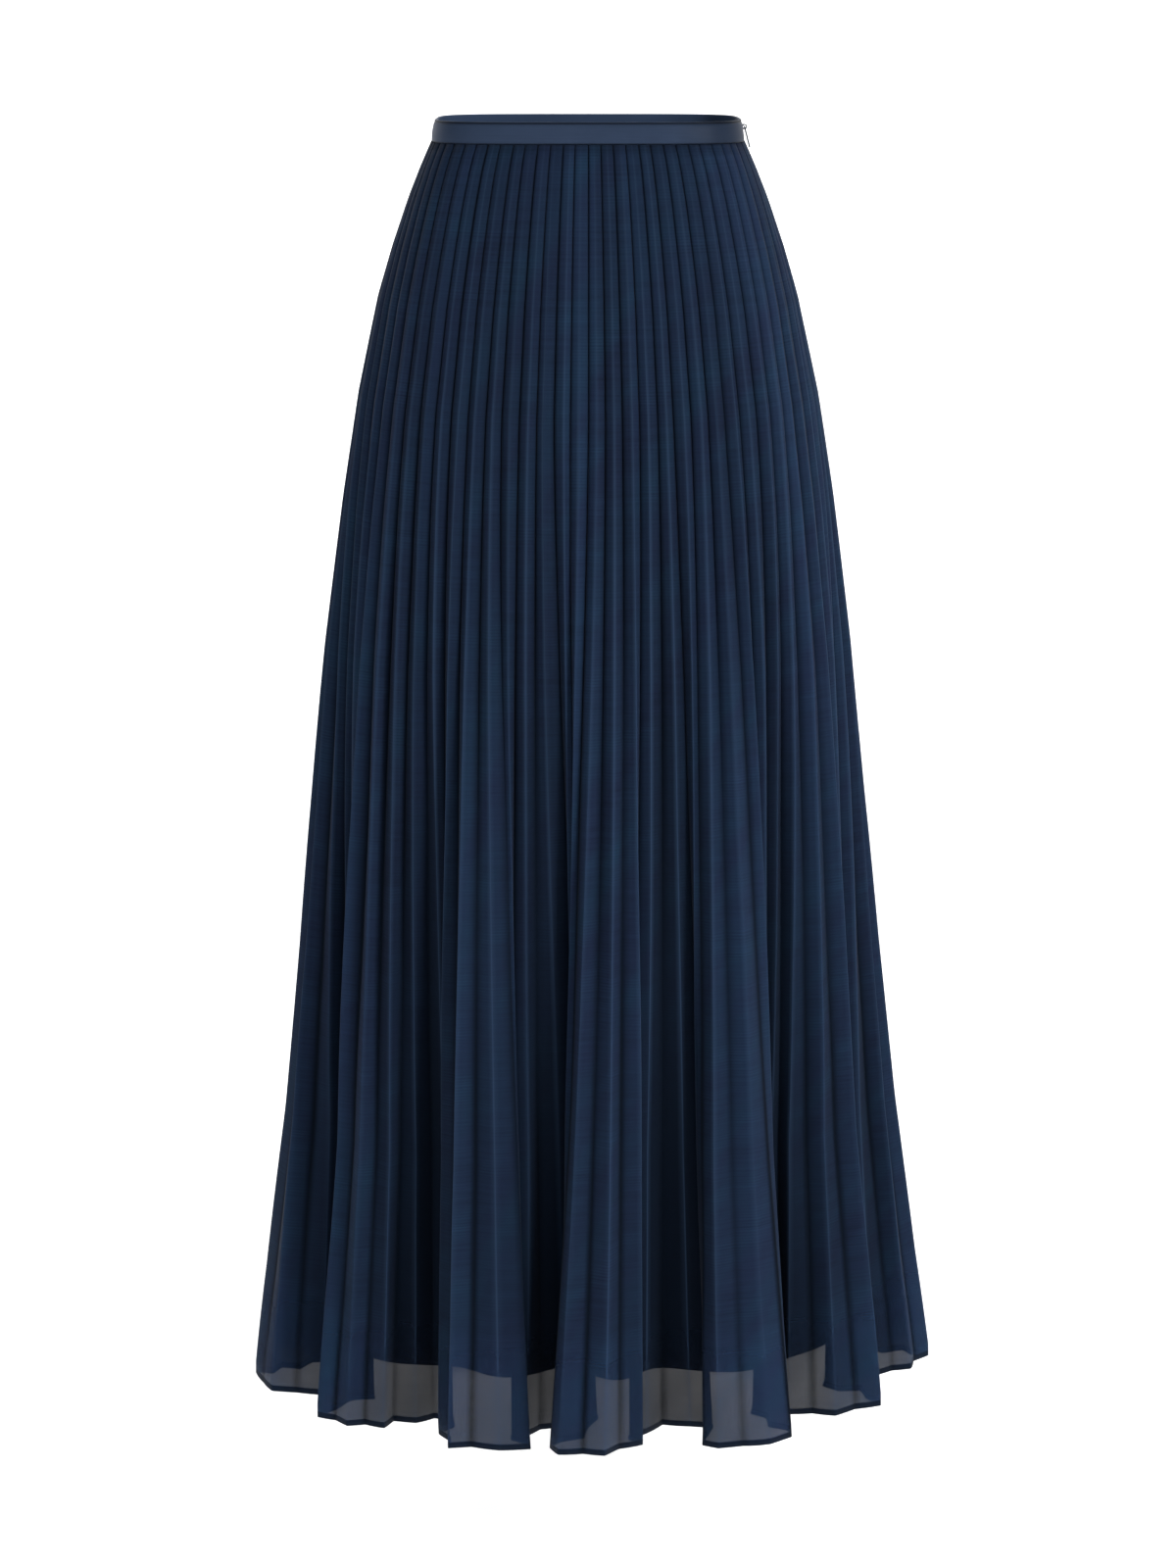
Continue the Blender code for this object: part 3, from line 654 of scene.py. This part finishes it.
def bandProfile():
    # a rounded strip: out, down, in and up, as places across the wall and down its height
    steps = np.linspace(0, math.pi / 2, 5)
    r, height, wall = band["round"], band["height"], band["wall"]
    corners = ((-r, r, 0.0), (-r, height - r, math.pi / 2), (-wall + r, height - r, math.pi),
               (-wall + r, r, 1.5 * math.pi))
    places = []
    for out, down, start in corners:
        angle = start + steps
        places.append(np.column_stack([out + r * np.sin(angle), down - r * np.cos(angle)]))
        if start == 0.0:
            groove = np.array(band["groove"])
            side = np.linspace(groove[-1, 1] + 1, height - r - 1, 9)
            places.append(groove)
            places.append(np.column_stack([np.zeros(9), side]))
        if start == math.pi:
            side = np.linspace(height - r - 1, r + 1, 7)
            places.append(np.column_stack([np.full(7, -wall), side]))
    return np.concatenate(places)


def makeBand():
    profile = bandProfile()
    pieces = {}
    for name, back in (("satinBandFront", False), ("satinBandBack", True)):
        start = math.pi / 2 if back else -math.pi / 2
        turn = start + np.linspace(0, math.pi, band["columns"] + 1)
        out, down = profile[:, :1], profile[:, 1:]
        wide, deep, power = outlineAt(outline, down)
        swell = band["proud"] + band["bulge"] * np.sin(np.pi * down / band["height"])
        belly = np.sin(np.pi * down / band["height"])
        ripple = band["ripple"] * np.sin(turn * 13 + 0.8 * np.sin(turn * 5)) * belly
        radius = reach(wide + swell, deep + swell, power, turn[None, :]) + out + ripple
        plan = planPoints(radius, np.broadcast_to(turn, radius.shape))
        grid = np.dstack([plan, np.broadcast_to(-down, radius.shape)])
        gaps = (band["zipGap"], band["gap"]) if back else (band["gap"], band["zipGap"])
        for edge, beside, gap in ((0, 1, gaps[0]), (-1, -2, gaps[1])):
            step = grid[:, beside] - grid[:, edge]
            grid[:, edge] += step * (gap / np.linalg.norm(step, axis=1))[:, None]
        rows, columns = grid.shape[:2]
        index = np.arange(rows * columns).reshape(rows, columns)
        below = np.roll(index, -1, 0)
        faces = np.stack([index[:, :-1], below[:, :-1], below[:, 1:], index[:, 1:]], -1)
        faces = faces.reshape(-1, 4).tolist()
        faces.append(index[:, 0].tolist())
        faces.append(index[::-1, -1].tolist())
        mesh = bpy.data.meshes.new(name)
        mesh.from_pydata((grid.reshape(-1, 3) * mm).tolist(), [], faces)
        length = np.cumsum(np.append(0, np.hypot(*np.diff(profile, axis=0).T)))
        # both halves are measured from the right side seam, so the tone runs on across the seams
        along = math.pi - (turn - start) if back else turn - start
        cut = np.dstack([radius * along[None, :], np.broadcast_to(length[:, None], radius.shape)])
        cut = cut.reshape(-1, 2)
        loops = np.empty(len(mesh.loops), dtype=np.int32)
        mesh.loops.foreach_get("vertex_index", loops)
        mesh.uv_layers.new(name="cut").data.foreach_set("uv", (cut[loops] * mm).ravel())
        mesh.shade_smooth()
        mesh.materials.append(materials["satin"])
        piece = bpy.data.objects.new(name, mesh)
        bpy.context.scene.collection.objects.link(piece)
        pieces[name] = piece
    return pieces


bandPieces = makeBand()
print("waistband made")

for piece, node, slot in ((skirtPieces["chiffonFront"], "skirt_front", "chiffon"),
                          (skirtPieces["chiffonBack"], "skirt_back", "chiffon"),
                          (liningPieces["liningClothFront"], "lining_front", "lining"),
                          (liningPieces["liningClothBack"], "lining_back", "lining"),
                          (bandPieces["satinBandFront"], "waistband_front", "satin"),
                          (bandPieces["satinBandBack"], "waistband_back", "satin")):
    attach(piece, "skirt")
    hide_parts(node)
# each half of the skirt is cut as a trapezium: area = (top + hem) / 2 * length. Each half of the
# lining widens quickly over the hips, then slowly to its edge
for node, key in (("zip_tape_front", "tape"), ("zip_tape_back", "tape"), ("zip_coil", "lacquer"),
                  ("zip_slider", "lacquer"), ("zip_pull", "lacquer")):
    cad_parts[node].data.materials.clear()
    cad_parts[node].data.materials.append(materials[key])

stage = {"floor": -1.16, "size": 120.0, "wall": 3.2, "turn": 1.2, "high": 5.0, "ring": 58.0, "ringHigh": 7.0,
         "glow": 0.70}


def stageMaterial():
    fixed = {"Roughness": 0.9, "Specular IOR Level": 0.1, "Base Color": rgba(0.93, 0.93, 0.935),
             "Emission Strength": stage["glow"], "Emission Color": rgba(1, 1, 1)}
    return newMaterial("paleStage", fixed)[0]


def stagePiece(name, grid, material):
    rows, columns = grid.shape[:2]
    index = np.arange(rows * columns).reshape(rows, columns)
    faces = np.stack([index[:-1, :-1], index[1:, :-1], index[1:, 1:], index[:-1, 1:]], -1)
    mesh = bpy.data.meshes.new(name)
    mesh.from_pydata(grid.reshape(-1, 3).tolist(), [], faces.reshape(-1, 4).tolist())
    mesh.shade_smooth()
    mesh.materials.append(material)
    piece = bpy.data.objects.new(name, mesh)
    bpy.context.scene.collection.objects.link(piece)


def makeStage():
    material = stageMaterial()
    # a floor that sweeps up into a wall: flat, a quarter circle, then upright
    half, radius = stage["size"] / 2, stage["turn"]
    angle = np.linspace(0, math.pi / 2, 17)
    depth = np.concatenate([[-half], stage["wall"] + radius * np.sin(angle), [stage["wall"] + radius]])
    height = np.concatenate([[0], radius * (1 - np.cos(angle)), [stage["high"]]]) + stage["floor"]
    x = np.array([-half, half])
    stagePiece("paleSweep", np.array([[(a, d, h) for a in x] for d, h in zip(depth, height)]), material)
    # a low wall all round, far off, where a view from the side or behind meets the floor's end
    turn = np.linspace(0, 2 * math.pi, 97)
    foot = np.column_stack([stage["ring"] * np.cos(turn), stage["ring"] * np.sin(turn)])
    rise = (stage["floor"], stage["floor"] + stage["ringHigh"])
    stagePiece("paleRing", np.array([np.column_stack([foot, np.full(97, h)]) for h in rise]), material)


def addLight(name, place, aim, size, power):
    lamp = bpy.data.lights.new(name, "AREA")
    lamp.size = size
    lamp.energy = power
    holder = bpy.data.objects.new(name, lamp)
    bpy.context.scene.collection.objects.link(holder)
    holder.location = place
    direction = np.array(aim, float) - np.array(place, float)
    pitch = math.atan2(math.hypot(direction[0], direction[1]), -direction[2])
    holder.rotation_euler = (pitch, 0, math.atan2(direction[1], direction[0]) - math.pi / 2)


makeStage()
# place, aim, size and watts
lights = {
    "keyLight": ((2.15, -2.1, 1.0), (0, 0, -0.45), 0.8, 86),
    "fillLight": ((-2.4, -2.8, 0.9), (0, 0, -0.5), 2.0, 10),
    "topLight": ((0.2, -0.9, 2.6), (0, 0, -0.5), 2.0, 4),
}
roomLight = 0.22
for name, (place, aim, size, power) in lights.items():
    addLight(name, place, aim, size, power)
world = bpy.data.worlds.new("softRoom")
world.use_nodes = True
world.node_tree.nodes["Background"].inputs[0].default_value = rgba(1, 1, 1)
world.node_tree.nodes["Background"].inputs[1].default_value = roomLight
bpy.context.scene.world = world
bpy.context.scene.view_settings.view_transform = "Standard"
bpy.context.scene.cycles.transparent_max_bounces = 32

view = {"back": 2.45, "up": 0.0795, "down": 13.74, "lens": 72.7}
camera = bpy.data.cameras.new("viewer")
camera.sensor_fit = "VERTICAL"
camera.sensor_height = 36.0
camera.lens = view["lens"]
viewer = bpy.data.objects.new("viewer", camera)
viewer.location = (0, -view["back"], view["up"])
viewer.rotation_euler = (math.radians(90 - view["down"]), 0, 0)
bpy.context.scene.collection.objects.link(viewer)
bpy.context.scene.camera = viewer

print("scene ready")
